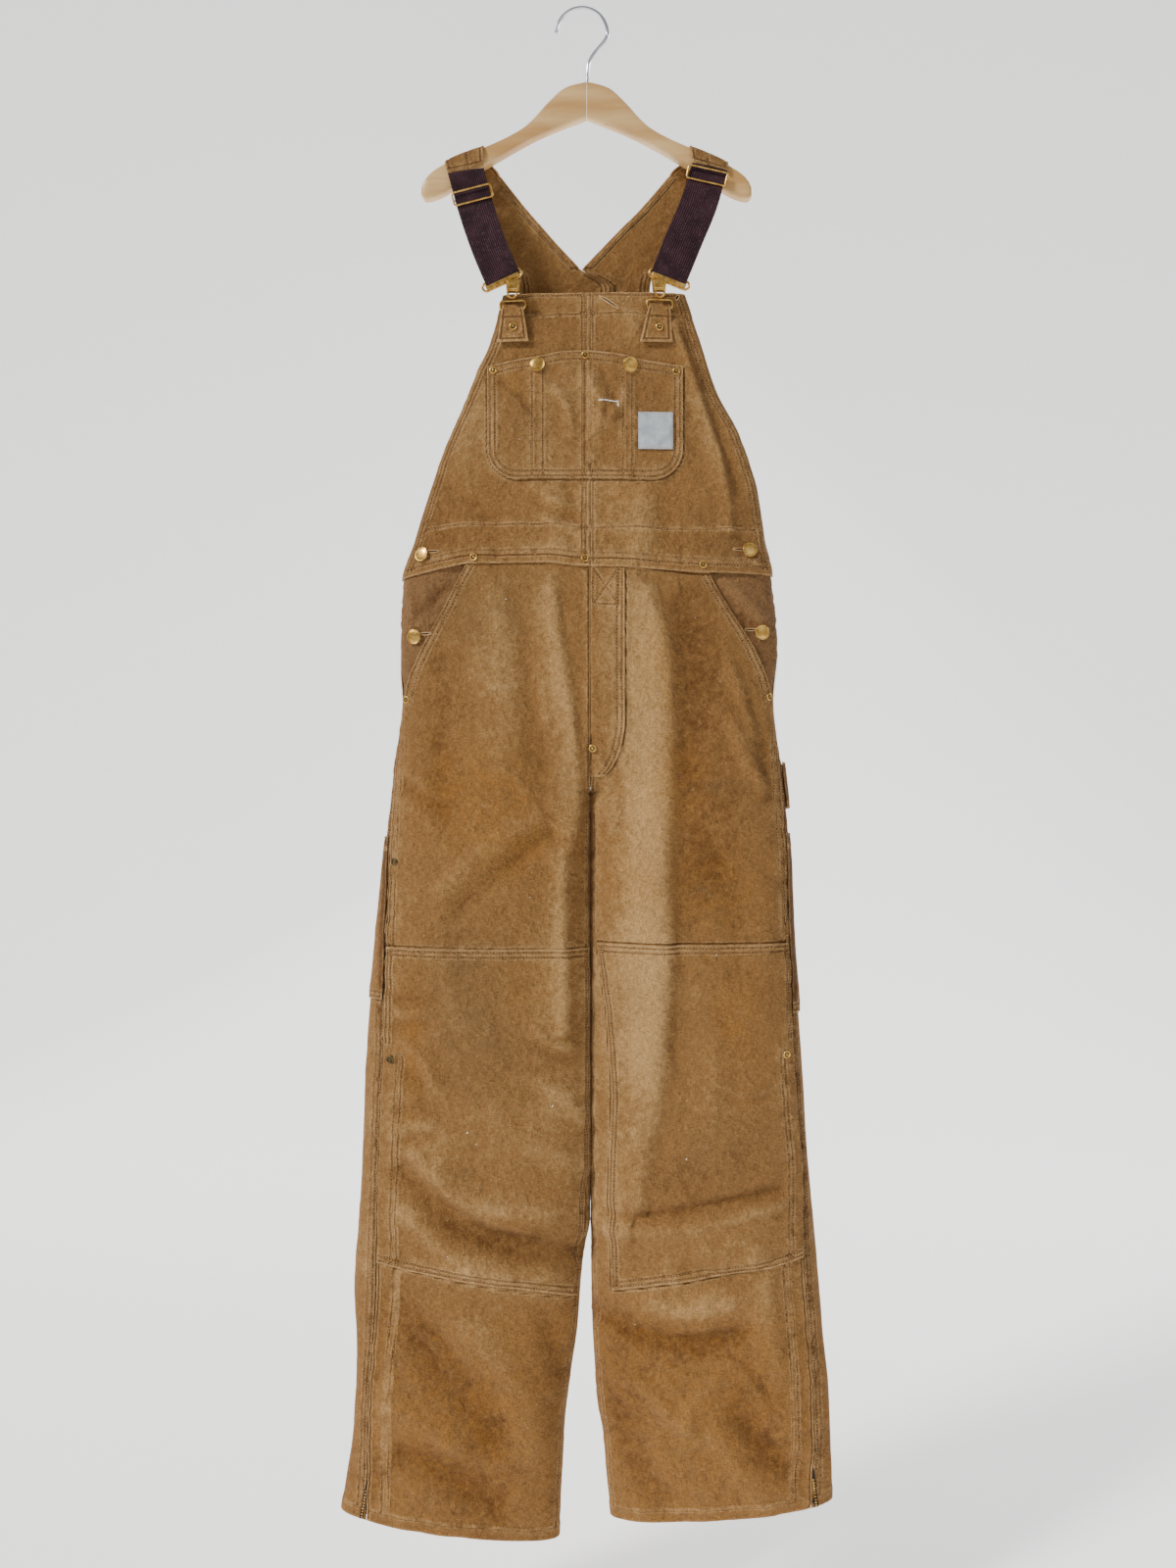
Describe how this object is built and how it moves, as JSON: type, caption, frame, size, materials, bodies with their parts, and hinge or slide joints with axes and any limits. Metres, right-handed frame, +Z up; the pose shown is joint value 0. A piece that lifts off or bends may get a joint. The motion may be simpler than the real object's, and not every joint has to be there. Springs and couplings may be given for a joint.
{
  "type": "bib overalls on hanger",
  "caption": "Worn cotton duck bib overalls with double knees and side leg zips, hanging from elastic braces on a wooden hanger with a wire hook.",
  "frame": {"origin": "underside of the hook's crown, where a rail or peg carries the hanger", "axes": "+Z up, +X towards the wearer's left side, -Y towards the viewer of the garment's front"},
  "size_m": [0.5621, 0.084, 1.7588],
  "materials": {
    "duck": "worn golden-brown cotton duck, faded on seams and knees, stained and lightly spotted with pale paint",
    "duck_shaded": "darker, less worn cotton duck inside the openings",
    "zip": "zip tape with metal teeth",
    "elastic": "dark maroon elastic with fine lengthwise ribs",
    "brass": "worn yellow brass",
    "steel": "polished plated wire",
    "wood": "clear satin lacquer on pale beech",
    "patch": "plain woven patch, blank"
  },
  "bodies": {
    "root": {"front_leg_right": "duck", "back_leg_right": "duck", "bib_right": "duck", "back_right": "duck", "shoulder_strap_right": "duck", "tab_right": "duck", "knee_patch_right": "duck", "tool_pocket_right": "duck", "hip_facing_right": "duck_shaded", "button_stand_right": "duck_shaded", "zip_right": "zip", "elastic_right": "elastic", "slider_right": "brass", "clip_right": "brass", "tab_loop_right": "brass", "tab_rivet_right": "brass", "button_waist_right": "brass", "button_hip_right": "brass", "button_chest_right": "brass", "rivet_pocket_right": "brass", "rivet_mouth_right": "brass", "rivet_mouth_foot_right": "brass", "rivet_zip_right": "brass", "hanger_right": "wood", "front_leg_left": "duck", "back_leg_left": "duck", "bib_left": "duck", "back_left": "duck", "shoulder_strap_left": "duck", "tab_left": "duck", "knee_patch_left": "duck", "tool_pocket_left": "duck", "hip_facing_left": "duck_shaded", "button_stand_left": "duck_shaded", "zip_left": "zip", "elastic_left": "elastic", "slider_left": "brass", "clip_left": "brass", "tab_loop_left": "brass", "tab_rivet_left": "brass", "button_waist_left": "brass", "button_hip_left": "brass", "button_chest_left": "brass", "rivet_pocket_left": "brass", "rivet_mouth_left": "brass", "rivet_mouth_foot_left": "brass", "rivet_zip_left": "brass", "hanger_left": "wood", "chest_pocket": "duck", "fly": "duck", "hammer_loop": "duck", "blank_patch": "patch", "rivet_pocket_middle": "brass", "rivet_waist": "brass", "rivet_fly": "brass", "rivet_tool_right": "brass", "hook": "steel", "hook_ball": "steel"}
  },
  "joints": []
}
